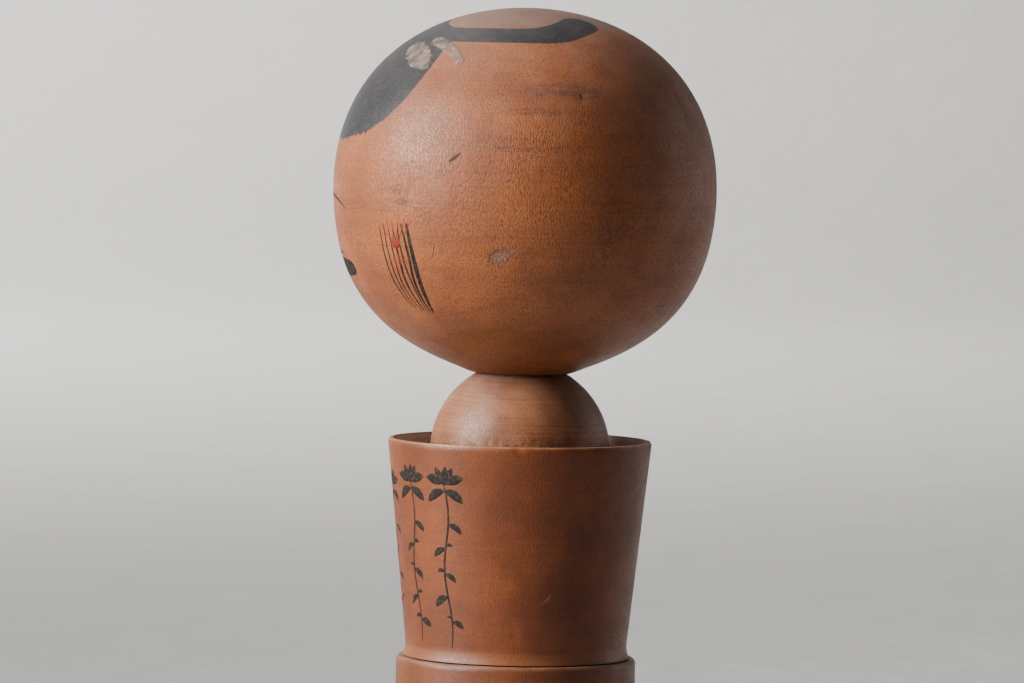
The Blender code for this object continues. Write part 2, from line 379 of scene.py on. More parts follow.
# ---------------------------------------------------------------- shader groups
def wood_group():
    """Stained wood as it comes off the lathe: pores, growth rings, tool lines and blotches."""
    tree, nodes, given, result = new_group(
        "Turned wood", "ShaderNodeTree",
        [
            ("Vector", "Vector", None),
            ("Along", "Float", 0.0),
            ("Light", "Color", (0.4, 0.2, 0.1, 1)),
            ("Dark", "Color", (0.2, 0.1, 0.05, 1)),
            ("Fleck", "Color", (0.05, 0.02, 0.01, 1)),
            ("Fleck Width", "Float", 0.4 * MM),
            ("Fleck Length", "Float", 1.5 * MM),
            ("Fleck Amount", "Float", 0.5),
            ("Line Spacing", "Float", 0.6 * MM),
            ("Line Amount", "Float", 0.3),
            ("Ring Spacing", "Float", 5 * MM),
            ("Ring Amount", "Float", 0.2),
            ("Blotch Size", "Float", 16 * MM),
        ],
        [
            ("Color", "Color", None),
            ("Roughness", "Float", None),
            ("Height", "Float", None),
        ],
    )
    place = given["Vector"]
    x, y, _ = nodes.separate(place)

    # Pores run up the trunk, and drift a little with its growth
    drift = nodes.add(
        "ShaderNodeTexNoise", {"Vector": place, "Scale": 70.0, "Detail": 1.0}
    ).outputs["Color"]
    drift = nodes.vector_math("SUBTRACT", drift, (0.5, 0.5, 0.5))
    drifted = nodes.vector_math("MULTIPLY_ADD", drift, (0.006,) * 3, place)
    across = nodes.math("DIVIDE", 1, given["Fleck Width"])
    upward = nodes.math("DIVIDE", 1, given["Fleck Length"])
    pore_place = nodes.vector_math("MULTIPLY", drifted, nodes.combine(across, across, upward))
    pore_noise = nodes.noise(pore_place, 1.0, 1.5, 0.6)
    flecks = nodes.ramp(pore_noise, 0.44, 0.6)
    thin_out = nodes.ramp(nodes.noise(place, 90.0, 2.0), 0.3, 0.7, 0.75, 1.0)
    flecks = nodes.math("MULTIPLY", flecks, thin_out)

    # Tool lines circle the piece, and fade in and out
    line_place = nodes.combine(
        nodes.math("MULTIPLY", x, 22.0),
        nodes.math("MULTIPLY", y, 22.0),
        nodes.math("DIVIDE", given["Along"], given["Line Spacing"]),
    )
    lines = nodes.ramp(nodes.noise(line_place, 1.0, 3.0, 0.65), 0.42, 0.68)
    band_place = nodes.combine(
        nodes.math("MULTIPLY", x, 12.0),
        nodes.math("MULTIPLY", y, 12.0),
        nodes.math("MULTIPLY", given["Along"], 150.0),
    )
    bands = nodes.ramp(nodes.noise(band_place, 1.0, 2.0, 0.5), 0.35, 0.7)

    # Growth rings round a pith that lies off the lathe's axis
    bend = nodes.math("MULTIPLY", nodes.noise(place, 30.0, 2.0), 9 * MM)
    from_pith = nodes.vector_math(
        "LENGTH", nodes.combine(nodes.math("ADD", x, 21 * MM), nodes.math("SUBTRACT", y, 12 * MM), 0.0)
    )
    ring_turn = nodes.math("DIVIDE", nodes.math("ADD", from_pith, bend), given["Ring Spacing"])
    rings = nodes.math("POWER", nodes.math("PINGPONG", ring_turn, 0.5), 2.0)
    rings = nodes.math("MULTIPLY", rings, 4.0)

    blotch_scale = nodes.math("DIVIDE", 1, given["Blotch Size"])
    blotches = nodes.ramp(nodes.noise(place, blotch_scale, 4.0, 0.6), 0.32, 0.68)

    stained = nodes.mix(blotches, given["Light"], given["Dark"])
    shade = nodes.math("MULTIPLY", rings, given["Ring Amount"])
    shade = nodes.math("MULTIPLY_ADD", lines, given["Line Amount"], shade)
    shade = nodes.math("MULTIPLY_ADD", bands, nodes.math("MULTIPLY", given["Line Amount"], 0.7), shade)
    stained = nodes.mix(shade, stained, (0.06, 0.018, 0.01, 1))
    cover = nodes.math("MULTIPLY", flecks, given["Fleck Amount"])
    nodes.feed(result["Color"], nodes.mix(cover, stained, given["Fleck"]))

    dull = nodes.math("MULTIPLY_ADD", flecks, 0.12, 0.36)
    nodes.feed(result["Roughness"], nodes.math("MULTIPLY_ADD", blotches, 0.07, dull))
    sunk = nodes.math("MULTIPLY_ADD", flecks, -0.6, 1.0)
    nodes.feed(result["Height"], nodes.math("MULTIPLY_ADD", lines, -0.1, sunk))
    return tree


def patch_group():
    """A ragged patch round the origin of its vector, one unit in radius, and the grit in it."""
    tree, nodes, given, result = new_group(
        "Worn patch", "ShaderNodeTree",
        [
            ("Vector", "Vector", None),
            ("Softness", "Float", 0.3),
            ("Raggedness", "Float", 0.5),
            ("Grit Size", "Float", 0.3),
        ],
        [("Mask", "Float", None), ("Grit", "Float", None)],
    )
    ragged = nodes.noise(given["Vector"], 2.2, 4.0, 0.65)
    edge = nodes.vector_math("LENGTH", given["Vector"])
    edge = nodes.math(
        "MULTIPLY_ADD", nodes.math("SUBTRACT", ragged, 0.5),
        nodes.math("MULTIPLY", given["Raggedness"], 2.0), edge,
    )
    inner = nodes.math("SUBTRACT", 1.0, given["Softness"])
    nodes.feed(result["Mask"], nodes.ramp(edge, inner, 1.0, 1.0, 0.0))
    grit = nodes.noise(given["Vector"], nodes.math("DIVIDE", 1, given["Grit Size"]), 3.0, 0.7)
    nodes.feed(result["Grit"], nodes.ramp(grit, 0.42, 0.6))
    return tree


def dust_group():
    """Dust that lies thickest on what looks up, in uneven patches and single specks."""
    tree, nodes, given, result = new_group(
        "Settled dust", "ShaderNodeTree",
        [("Vector", "Vector", None), ("Amount", "Float", 0.5), ("Patch Size", "Float", 8 * MM)],
        [("Mask", "Float", None)],
    )
    normal = nodes.add("ShaderNodeNewGeometry").outputs["Normal"]
    upward = nodes.ramp(nodes.separate(normal)["Z"], 0.25, 1.0)
    scale = nodes.math("DIVIDE", 1, given["Patch Size"])
    patches = nodes.ramp(nodes.noise(given["Vector"], scale, 4.0, 0.6), 0.35, 0.7, 0.35, 1.0)
    specks = nodes.ramp(nodes.noise(given["Vector"], 1100.0, 1.0), 0.66, 0.74)
    film = nodes.math("MULTIPLY", patches, upward)
    film = nodes.math("MULTIPLY_ADD", specks, nodes.math("MULTIPLY", upward, 0.8), film)
    nodes.feed(result["Mask"], nodes.math("MULTIPLY", film, given["Amount"], clamp=True))
    return tree


def bristle_group():
    """Where a brush left paint: full inside, broken into bristle marks towards an edge."""
    tree, nodes, given, result = new_group(
        "Brushed edge", "ShaderNodeTree",
        [
            ("Vector", "Vector", None),
            ("Inside", "Float", 0.0),
            ("Edge Width", "Float", 0.3 * MM),
            ("Dryness", "Float", 0.0),
            ("Bristle Scale", "Vector", (900, 900, 120)),
        ],
        [("Mask", "Float", None)],
    )
    bristles = nodes.noise(
        nodes.vector_math("MULTIPLY", given["Vector"], given["Bristle Scale"]), 1.0, 3.0, 0.6
    )
    uneven = nodes.math("SUBTRACT", bristles, 0.5)
    reach = nodes.math("MULTIPLY_ADD", uneven, given["Dryness"], given["Inside"])
    nodes.feed(
        result["Mask"],
        nodes.ramp(reach, nodes.math("MULTIPLY", given["Edge Width"], -0.5),
                   nodes.math("MULTIPLY", given["Edge Width"], 0.5)),
    )
    return tree


# ------------------------------------------------------------------- materials
def new_material(name, roughness=0.5):
    """A material, its Nodes and its shader node."""
    material = bpy.data.materials.new(name)
    material.use_nodes = True
    shader = material.node_tree.nodes["Principled BSDF"]
    shader.inputs["Roughness"].default_value = roughness
    shader.inputs["Specular IOR Level"].default_value = 0.22
    return material, Nodes(material.node_tree), shader


class WoodLook:
    """A wooden surface that is built up in layers, from the bare wood outwards."""

    def __init__(self, name, light, dark, fleck, relief=0.04 * MM, **amounts):
        self.material, self.nodes, self.shader = new_material(name)
        self.place = self.nodes.place()
        inputs = {
            "Vector": self.place,
            "Along": self.nodes.attribute("along"),
            "Light": light,
            "Dark": dark,
            "Fleck": fleck,
        }
        inputs.update({key.replace("_", " ").title(): value for key, value in amounts.items()})
        wood = self.nodes.group(wood_group, inputs)
        self.colour, self.roughness, self.height = wood
        self.relief = relief

    def patch(self, centre, degrees, size, turn=0, softness=0.4, raggedness=0.5, grit=0.3):
        """Mask and grit of a worn patch, size = (half width, half height), at a point."""
        stamp = self.nodes.add(
            "ShaderNodeMapping",
            {
                "Vector": self.place,
                "Location": tuple(centre),
                "Rotation": (0, math.radians(turn), math.radians(degrees)),
                "Scale": (size[0], 3 * max(size), size[1]),
            },
            vector_type="TEXTURE",
        )
        return self.nodes.group(
            patch_group,
            {
                "Vector": stamp.outputs[0],
                "Softness": softness,
                "Raggedness": raggedness,
                "Grit Size": grit,
            },
        )

    def cover(self, mask, colour, roughness=None, amount=1.0, height=0.0):
        """Lays a colour over the surface where the mask is."""
        nodes = self.nodes
        if amount != 1.0:
            mask = nodes.math("MULTIPLY", mask, amount)
        self.colour = nodes.mix(mask, self.colour, colour)
        if roughness is not None:
            keep = nodes.math("MULTIPLY", self.roughness, nodes.math("SUBTRACT", 1.0, mask))
            self.roughness = nodes.math("MULTIPLY_ADD", mask, roughness, keep)
        if height:
            self.height = nodes.math("MULTIPLY_ADD", mask, height, self.height)

    def dust(self, colour, amount, patch_size=8 * MM):
        mask = self.nodes.group(
            dust_group, {"Vector": self.place, "Amount": amount, "Patch Size": patch_size}
        )[0]
        self.cover(mask, colour, roughness=0.8)

    def finish(self):
        nodes = self.nodes
        bump = nodes.add(
            "ShaderNodeBump", {"Strength": 1.0, "Distance": self.relief, "Height": self.height}
        )
        nodes.feed(self.shader.inputs["Base Color"], self.colour)
        nodes.feed(self.shader.inputs["Roughness"], self.roughness)
        nodes.feed(self.shader.inputs["Normal"], bump.outputs[0])
        return self.material


def head_material(outline, colours):
    """Stained wood under black hair, with the head's stains, scar, dust and painted shade on the crown."""
    look = WoodLook(
        "head_wood", colours.head_light, colours.head_dark, colours.fleck, relief=0.09 * MM,
        fleck_width=0.34 * MM, fleck_length=1.0 * MM, fleck_amount=0.55,
        line_spacing=0.5 * MM, line_amount=0.2, ring_spacing=7 * MM, ring_amount=0.1,
        blotch_size=15 * MM,
    )
    nodes = look.nodes
    grime = (0.032, 0.02, 0.018, 1)
    for degrees, height, half_width, half_height, amount in (
        (68.6, 248.9, 3.4, 2.0, 0.8),
        (71.2, 245.4, 2.8, 1.7, 1.0),
        (63.4, 249.3, 3.0, 2.2, 0.5),
        (64.5, 243.0, 3.0, 1.6, 0.4),
        (97.8, 270.3, 2.4, 1.6, 0.6),
        (112.0, 262.0, 14.0, 2.0, 0.4),
        (124.0, 279.0, 16.0, 3.0, 0.5),
        (112.0, 272.5, 12.0, 1.6, 0.45),
        (-64.0, 251.0, 3.5, 2.2, 0.5),
        (-128.0, 236.0, 6.0, 3.5, 0.4),
        (172.0, 272.0, 2.2, 7.0, 0.5),
    ):
        centre = on_surface(outline, degrees, height * MM)
        mask, grit = look.patch(
            centre, degrees, (half_width * MM, half_height * MM), softness=0.5, raggedness=0.9
        )
        look.cover(nodes.math("MULTIPLY", mask, grit), grime, amount=amount)

    # A scar where something stuck and tore the finish away: dark at its edge, pale specks within
    for degrees, height, half_size, amount in ((*SCAR, 3.9, 1.0), (106.6, 231.9, 1.7, 0.7)):
        centre = on_surface(outline, degrees, height * MM)
        size = (half_size * MM, half_size * 0.72 * MM)
        mask = look.patch(centre, degrees, size, turn=-12, raggedness=0.9, grit=0.2)[0]
        look.cover(mask, (0.06, 0.027, 0.018, 1), roughness=0.7, amount=0.8 * amount, height=-1.2)
        inner = (size[0] * 0.8, size[1] * 0.8)
        mask, grit = look.patch(centre, degrees, inner, turn=-12, raggedness=0.7, grit=0.14)
        look.cover(nodes.math("MULTIPLY", mask, grit), (0.24, 0.125, 0.08, 1), amount=0.75 * amount)

    height = nodes.separate(look.place)["Z"]
    # The top of the crown is made greyer and darker: partly a haze of dust, partly painted shade
    crown = nodes.ramp(height, CROWN_Z - 8 * MM, CROWN_Z - 4 * MM)
    look.cover(crown, (0.105, 0.075, 0.063, 1), amount=0.6)
    look.dust(colours.dust, 0.12)

    inside = nodes.math("MULTIPLY", nodes.attribute("hair_edge"), -1.0)
    dryness = nodes.ramp(height, 263 * MM, 268 * MM, 6 * MM, 0.35 * MM)
    mask = nodes.group(
        bristle_group,
        {
            "Vector": look.place, "Inside": inside, "Dryness": dryness,
            "Edge Width": 0.35 * MM, "Bristle Scale": (900, 900, 250),
        },
    )[0]
    thin = nodes.noise(nodes.vector_math("MULTIPLY", look.place, (300, 300, 900)), 1.0, 4.0, 0.6)
    mask = nodes.math("MULTIPLY", mask, nodes.ramp(thin, 0.25, 0.5, 0.8, 1.0))
    look.cover(mask, colours.hair, roughness=0.43, height=0.3)

    look.dust(colours.dust, 0.07)
    return look.finish()


def body_look(name, colours):
    """The dark stained wood that both tiers of the body are turned from."""
    return WoodLook(
        name, colours.body_light, colours.body_dark, colours.fleck,
        fleck_width=0.4 * MM, fleck_length=1.2 * MM, fleck_amount=0.42,
        line_spacing=0.45 * MM, line_amount=0.27, ring_spacing=6 * MM, ring_amount=0.14,
        blotch_size=18 * MM,
    )


def upper_body_material(colours):
    """The upper body, dusty in its hollow with painted shade deep down and painted light near the top, with
    a painted highlight on its rim and painted light at its foot.
    """
    look = body_look("upper_body_wood", colours)
    nodes = look.nodes
    x, y, z = nodes.separate(look.place)
    radius = nodes.vector_math("LENGTH", nodes.combine(x, y, 0.0))
    uneven = nodes.noise(look.place, 160.0, 4.0, 0.6)

    # Painted highlight: the top edge of the rim is made lighter, in uneven patches
    rim = nodes.ramp(z, RIM_Z - 0.9 * MM, RIM_Z - 0.3 * MM)
    look.cover(
        nodes.math("MULTIPLY", rim, nodes.ramp(uneven, 0.3, 0.6, 0.4, 1.0)), colours.dome_light, amount=0.85
    )
    # Dust inside the hollow, darker deep down as painted shade and paler near the rim as painted light
    hollow = nodes.math(
        "MULTIPLY",
        nodes.ramp(radius, HOLLOW_RADIUS - 0.4 * MM, HOLLOW_RADIUS, 1.0, 0.0),
        nodes.ramp(z, RIM_Z - 9 * MM, RIM_Z - 8.4 * MM),
    )
    deep_dust_and_shade = (0.22, 0.155, 0.115, 1)
    rim_dust_and_light = (0.52, 0.44, 0.38, 1)
    look.cover(
        nodes.math("MULTIPLY", hollow, nodes.ramp(uneven, 0.25, 0.6, 0.7, 1.0)),
        nodes.mix(nodes.ramp(z, RIM_Z - 6.5 * MM, RIM_Z - 3.5 * MM), deep_dust_and_shade, rim_dust_and_light),
        roughness=0.85, amount=0.9,
    )
    # Painted light: a lighter band round the foot, just above the lower tier's ledge
    foot = nodes.ramp(z, TIER_Z + 3.2 * MM, TIER_Z + 4.2 * MM, 1.0, 0.0)
    look.cover(foot, colours.dome_dark, amount=0.5)
    look.dust(colours.dust, 0.35)
    return look.finish()


def lower_body_material(colours):
    """The lower body, with a painted highlight on its shoulder edge and a scuffed base."""
    look = body_look("lower_body_wood", colours)
    nodes = look.nodes
    z = nodes.separate(look.place)["Z"]
    uneven = nodes.noise(look.place, 160.0, 4.0, 0.6)
    shoulder = nodes.ramp(z, TIER_Z - 1.1 * MM, TIER_Z - 0.5 * MM)
    base = nodes.ramp(z, 0.5 * MM, 3.0 * MM, 1.0, 0.0)
    # The shoulder's lighter edge is a painted highlight; the base's lighter edge is scuffing
    for edge in (shoulder, base):
        look.cover(
            nodes.math("MULTIPLY", edge, nodes.ramp(uneven, 0.4, 0.6)), colours.dome_light, amount=0.4
        )
    look.cover(nodes.ramp(uneven, 0.3, 0.7), (0.06, 0.025, 0.013, 1), amount=0.35)
    look.dust(colours.dust, 0.35)
    return look.finish()


def dome_material(colours):
    """The shoulder dome, paler than the rest and with a dirty ring at its foot."""
    look = WoodLook(
        "dome_wood", colours.dome_light, colours.dome_dark, colours.fleck,
        fleck_width=0.3 * MM, fleck_length=0.9 * MM, fleck_amount=0.4,
        line_spacing=0.5 * MM, line_amount=0.36, ring_spacing=5 * MM, ring_amount=0.12,
        blotch_size=12 * MM,
    )
    nodes = look.nodes
    z = nodes.separate(look.place)["Z"]
    foot = nodes.ramp(z, RIM_Z - 1 * MM, RIM_Z + 2.4 * MM, 1.0, 0.0)
    crumbs = nodes.ramp(nodes.noise(look.place, 700.0, 3.0, 0.7), 0.45, 0.58)
    look.cover(nodes.math("MULTIPLY", foot, crumbs), (0.04, 0.02, 0.014, 1), amount=0.65)
    look.dust(colours.dust, 0.25)
    return look.finish()


def bare_wood_material(colours):
    """Unstained wood of the peg and the dowel, which the joints hide."""
    look = WoodLook(
        "bare_wood", colours.bare_light, colours.bare_dark, colours.bare_dark,
        fleck_width=0.3 * MM, fleck_length=3 * MM, fleck_amount=0.5,
        line_spacing=0.5 * MM, line_amount=0.1, ring_spacing=2 * MM, ring_amount=0.3,
        blotch_size=10 * MM,
    )
    return look.finish()


def brush_material(name, colour, dryness, roughness=0.65):
    """Paint from a loaded brush: full in the middle of a stroke, broken at its end and sides."""
    material, nodes, shader = new_material(name, roughness)
    shader.inputs["Specular IOR Level"].default_value = 0.1
    place = nodes.place()
    along, across = nodes.attribute("stroke_along"), nodes.attribute("stroke_across")
    # Bristles leave long streaks, so the noise runs far along the stroke and little across it
    streak_place = nodes.combine(
        nodes.math("MULTIPLY", along, 350.0), nodes.math("MULTIPLY", across, 2.6), 0.0
    )
    speckle = nodes.noise(place, 900.0, 3.0, 0.6)
    streaks = nodes.noise(nodes.vector_math("ADD", streak_place, place), 1.0, 3.0, 0.6)
    streaks = nodes.math("MULTIPLY_ADD", speckle, 0.5, nodes.math("MULTIPLY", streaks, 0.5))
    worn = nodes.math("MULTIPLY", nodes.attribute("stroke_dry"), dryness)
    paint = nodes.ramp(nodes.math("SUBTRACT", streaks, worn), 0.17, 0.30)
    tint = nodes.mix(nodes.ramp(speckle, 0.45, 0.7, 0.0, 0.3), colour, (0.11, 0.05, 0.03, 1))
    nodes.feed(shader.inputs["Base Color"], tint)
    nodes.feed(shader.inputs["Alpha"], paint)
    return material


def paper_material(colours):
    """Brittle old paper: thin, wrinkled, stained and torn at its edge."""
    material, nodes, shader = new_material("old_paper", 0.85)
    place = nodes.place()
    fibres = nodes.noise(place, 700.0, 4.0, 0.65)
    stains = nodes.noise(place, 260.0, 4.0, 0.6)
    paper = nodes.mix(nodes.ramp(stains, 0.35, 0.65), colours.paper, (0.16, 0.10, 0.065, 1))
    paper = nodes.mix(nodes.ramp(fibres, 0.5, 0.7, 0.0, 0.4), paper, (0.40, 0.36, 0.31, 1))
    side = nodes.math("ABSOLUTE", nodes.attribute("stroke_across"))
    torn = nodes.math("MULTIPLY_ADD", fibres, -1.1, nodes.math("MULTIPLY", side, 0.8))
    edge = nodes.ramp(torn, 0.12, 0.26, 1.0, 0.0)
    body = nodes.ramp(stains, 0.35, 0.6, 0.2, 0.88)
    nodes.feed(shader.inputs["Alpha"], nodes.math("MULTIPLY", edge, body))
    nodes.feed(shader.inputs["Base Color"], paper)
    bump = nodes.add("ShaderNodeBump", {"Distance": 0.25 * MM, "Height": stains})
    nodes.feed(shader.inputs["Normal"], bump.outputs[0])
    return material


# ---------------------------------------------------------- geometry node trees
def turning_tree():
    """Turns an outline, a line of points (radius, 0, height), into a closed solid."""
    tree, nodes, given, result = new_group(
        "Turned wood piece", "GeometryNodeTree",
        [
            ("Outline", "Geometry", None),
            ("Steps Around", "Int", 288),
            ("Out Of Round", "Float", 0.08 * MM),
            ("Wave Length", "Float", 30 * MM),
            ("Seed", "Float", 0.0),
            ("Material", "Material", None),
        ],
        [("Piece", "Geometry", None)],
    )
    outline = given["Outline"]
    count = nodes.add("GeometryNodeAttributeDomainSize", {0: outline}).outputs["Point Count"]
    grid = nodes.add(
        "GeometryNodeMeshGrid",
        {
            "Vertices X": nodes.math("ADD", given["Steps Around"], 1),
            "Vertices Y": count,
        },
    ).outputs["Mesh"]
    index = nodes.field("Index")
    row = nodes.math("MODULO", index, count)
    column = nodes.math("FLOOR", nodes.math("DIVIDE", nodes.math("ADD", index, 0.5), count))

    at_row = {"Value": nodes.field("Position"), "Index": row}
    point = nodes.flow("SampleIndex", outline, at_row, data_type="FLOAT_VECTOR")
    radius, _, height = nodes.separate(point)
    turn = nodes.math("MULTIPLY", nodes.math("DIVIDE", column, given["Steps Around"]), 2 * math.pi)
    outward = nodes.combine(nodes.math("COSINE", turn), nodes.math("SINE", turn), 0.0)
    true_place = nodes.vector_math(
        "MULTIPLY_ADD", outward, nodes.combine(radius, radius, radius), nodes.combine(0.0, 0.0, height)
    )

    # Shrinkage: the radius strays a little, and not at all on the axis
    wave_scale = nodes.math("DIVIDE", 1, given["Wave Length"])
    shifted = nodes.vector_math("ADD", true_place, nodes.combine(given["Seed"], 0.0, 0.0))
    waves = nodes.math("SUBTRACT", nodes.noise(shifted, wave_scale, 1.0), 0.5)
    stray = nodes.math("MULTIPLY", waves, nodes.math("MULTIPLY", given["Out Of Round"], 2.0))
    stray = nodes.math("MULTIPLY", stray, nodes.ramp(radius, 0.0, 12 * MM))
    final_place = nodes.vector_math("MULTIPLY_ADD", outward, nodes.combine(stray, stray, stray), true_place)

    along = nodes.field("NamedAttribute", Name="along")
    along = nodes.flow("SampleIndex", outline, {"Value": along, "Index": row})
    mesh = nodes.flow("StoreNamedAttribute", grid, {"Name": "along", "Value": along})
    mesh = nodes.flow("SetPosition", mesh, {"Position": final_place})
    mesh = nodes.flow("FlipFaces", mesh)
    mesh = nodes.flow("MergeByDistance", mesh, {"Distance": 1e-6})
    nodes.feed(result["Piece"], nodes.smooth_with(mesh, given["Material"]))
    return tree


def stroke_tree():
    """Lays each curve on a surface as a thin film of paint, as wide as the curve's radius says."""
    tree, nodes, given, result = new_group(
        "Brush strokes", "GeometryNodeTree",
        [
            ("Paths", "Geometry", None),
            ("Surface", "Object", None),
            ("Step", "Float", 0.6 * MM),
            ("Film", "Float", 0.03 * MM),
            ("Sides", "Int", 10),
            ("Material", "Material", None),
        ],
        [("Strokes", "Geometry", None)],
    )
    surface = nodes.add(
        "GeometryNodeObjectInfo", {"Object": given["Surface"]}, transform_space="RELATIVE"
    ).outputs["Geometry"]
    facing = {"Value": nodes.field("Normal")}

    def nearest():
        """The nearest point of the surface, and which way the surface faces there."""
        point = nodes.add("GeometryNodeProximity", {"Geometry": surface}).outputs["Position"]
        return point, nodes.flow("SampleNearestSurface", surface, facing, data_type="FLOAT_VECTOR")

    def store(geometry, **values):
        for name, value in values.items():
            geometry = nodes.flow("StoreNamedAttribute", geometry, {"Name": name, "Value": value})
        return geometry

    paths = nodes.flow("ResampleCurve", given["Paths"], {"Length": given["Step"]}, mode="LENGTH")
    point, normal = nearest()
    paths = nodes.flow("SetPosition", paths, {"Position": point})
    paths = nodes.flow("SetCurveNormal", paths, {"Normal": normal}, mode="FREE")
    radius = nodes.field("Radius")
    spline = nodes.add("GeometryNodeSplineParameter").outputs
    paths = store(paths, half_width=radius, stroke_along=spline["Length"], stroke_dry=spline["Factor"])

    # The profile's X follows the surface normal, and its Y lies along the surface
    circle = {"Resolution": given["Sides"], "Radius": 1.0}
    profile = nodes.add("GeometryNodeCurvePrimitiveCircle", circle).outputs[0]
    around = nodes.separate(nodes.field("Position"))
    profile = store(profile, stroke_across=around["Y"], stroke_lift=around["X"])
    sweep = {"Profile Curve": profile, "Scale": radius, "Fill Caps": True}
    mesh = nodes.flow("CurveToMesh", paths, sweep)

    # The swept ring is pressed flat onto the surface, as thick as the film
    point, normal = nearest()
    half_width = nodes.field("NamedAttribute", Name="half_width")
    film = nodes.math("MINIMUM", given["Film"], nodes.math("MULTIPLY", half_width, 0.5))
    rise = nodes.math("MULTIPLY", nodes.field("NamedAttribute", Name="stroke_lift"), film)
    laid = nodes.vector_math("MULTIPLY_ADD", normal, nodes.combine(rise, rise, rise), point)
    mesh = nodes.flow("SetPosition", mesh, {"Position": laid})
    nodes.feed(result["Strokes"], nodes.smooth_with(mesh, given["Material"]))
    return tree


def made_by_tree(name, source, tree, inputs):
    """A plain mesh object from what the tree makes of the source data."""
    maker = bpy.data.objects.new(name + "_source", source)
    bpy.context.scene.collection.objects.link(maker)
    modifier = maker.modifiers.new("tree", "NODES")
    modifier.node_group = tree
    for item in tree.interface.items_tree:
        if item.in_out == "INPUT" and item.name in inputs:
            modifier[item.identifier] = inputs[item.name]
    bpy.context.view_layer.update()
    evaluated = maker.evaluated_get(bpy.context.evaluated_depsgraph_get())
    mesh = bpy.data.meshes.new_from_object(evaluated)
    mesh.name = name
    bpy.data.objects.remove(maker)
    if not mesh.polygons:
        raise RuntimeError(f"{name}: the tree {tree.name!r} made no faces")
    piece = bpy.data.objects.new(name, mesh)
    bpy.context.scene.collection.objects.link(piece)
    return piece


# ----------------------------------------------------------------- making pieces
def turned_piece(name, outline, seed, material, sizes):
    """A closed solid turned from a fine outline."""
    line = bpy.data.meshes.new(name + "_outline")
    line.from_pydata([(r, 0, z) for r, z in outline], [(i, i + 1) for i in range(len(outline) - 1)], [])
    steps = np.linalg.norm(np.diff(outline, axis=0), axis=1)
    along = line.attributes.new("along", "FLOAT", "POINT")
    along.data.foreach_set("value", np.concatenate([[0], np.cumsum(steps)]).astype(np.float32))
    tree = bpy.data.node_groups.get("Turned wood piece") or turning_tree()
    piece = made_by_tree(
        name, line, tree,
        {
            "Steps Around": sizes.steps_around,
            "Out Of Round": sizes.out_of_round,
            "Seed": seed,
            "Material": material,
        },
    )
    piece.data.set_sharp_from_angle(angle=SHARP_EDGE)
    return piece


def vertex_places(mesh):
    """Where the mesh's points are, one row for each."""
    places = np.empty(len(mesh.vertices) * 3, np.float32)
    mesh.vertices.foreach_get("co", places)
    return places.reshape(-1, 3).astype(float)


def dent(piece, centre, half_sizes, depth, turn=0):
    """Pushes a smooth hollow into the piece towards its axis, round a point of its surface."""
    places = vertex_places(piece.data)
    outward = Vector((centre.x, centre.y, 0)).normalized()
    sideways = Vector((-outward.y, outward.x, 0))
    offset = places - np.array(centre)
    across, up = offset @ np.array(sideways), offset[:, 2]
    cosine, sine = math.cos(math.radians(turn)), math.sin(math.radians(turn))
    u = (across * cosine + up * sine) / half_sizes[0]
    v = (-across * sine + up * cosine) / half_sizes[1]
    near = np.linalg.norm(offset, axis=1) < 3 * max(half_sizes)
    push = depth * np.exp(-(u**2 + v**2) * 1.5) * near
    places -= push[:, None] * np.array(outward)
    piece.data.vertices.foreach_set("co", places.astype(np.float32).ravel())
    piece.data.update()


def brush_stroke(outline, path, width, press=(0.35, 1.0, 0.1)):
    """Points and half widths of a stroke through (degrees, height in mm) points.

    press is how hard the brush is pressed at the stroke's start, middle and end.
    """
    corners = [on_surface(outline, degrees, height * MM) for degrees, height in path]
    points = curve_through(corners, BEAD_SPACING)
    pressure = curve_through([(0, press[0]), (0.5, press[1]), (1, press[2])], 0.02)
    t = np.linspace(0, 1, len(points))
    half_widths = width * MM / 2 * np.interp(t, pressure[:, 0], pressure[:, 1])
    # Both ends are round, as a soft brush leaves them
    run = np.linalg.norm(points[-1] - points[0])
    to_end = np.minimum(t, 1 - t) * run
    inside = np.clip(to_end / np.maximum(half_widths, 1e-6), 0.02, 1)
    return points, half_widths * np.sqrt(1 - (1 - inside) ** 2)


def brush_strokes(outline, rows):
    """Strokes from rows of (path, width, press)."""
    return [brush_stroke(outline, *row) for row in rows]


def round_spot(outline, degrees, height, diameter):
    """A dot as a short stroke with a round outline."""
    centre = on_surface(outline, degrees, height * MM)
    half = diameter * MM / 2
    sideways = Vector((math.cos(math.radians(degrees)), math.sin(math.radians(degrees)), 0))
    t = np.linspace(-1, 1, 13)
    points = np.array([centre + sideways * (half * step) for step in t])
    return points, half * np.sqrt(np.maximum(1 - t**2, 0.01))


def lay_strokes(name, strokes, surface, body, material, film, step=0.6 * MM):
    """One piece from many strokes on a turned surface."""
    curve = bpy.data.curves.new(name + "_paths", "CURVE")
    curve.dimensions = "3D"
    for points, half_widths in strokes:
        spline = curve.splines.new("POLY")
        spline.points.add(len(points) - 1)
        for bead, point, half_width in zip(spline.points, points, half_widths):
            bead.co = (*point, 1)
            bead.radius = max(half_width, THINNEST_STROKE)
    tree = bpy.data.node_groups.get("Brush strokes") or stroke_tree()
    piece = made_by_tree(
        name, curve, tree, {"Surface": surface, "Film": film, "Step": step, "Material": material}
    )
    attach(piece, body)
    return piece


def mirrored(strokes):
    """The strokes and their mirror images across the middle of the face."""
    flip = np.array((-1, 1, 1))
    return strokes + [(points * flip, widths) for points, widths in strokes]


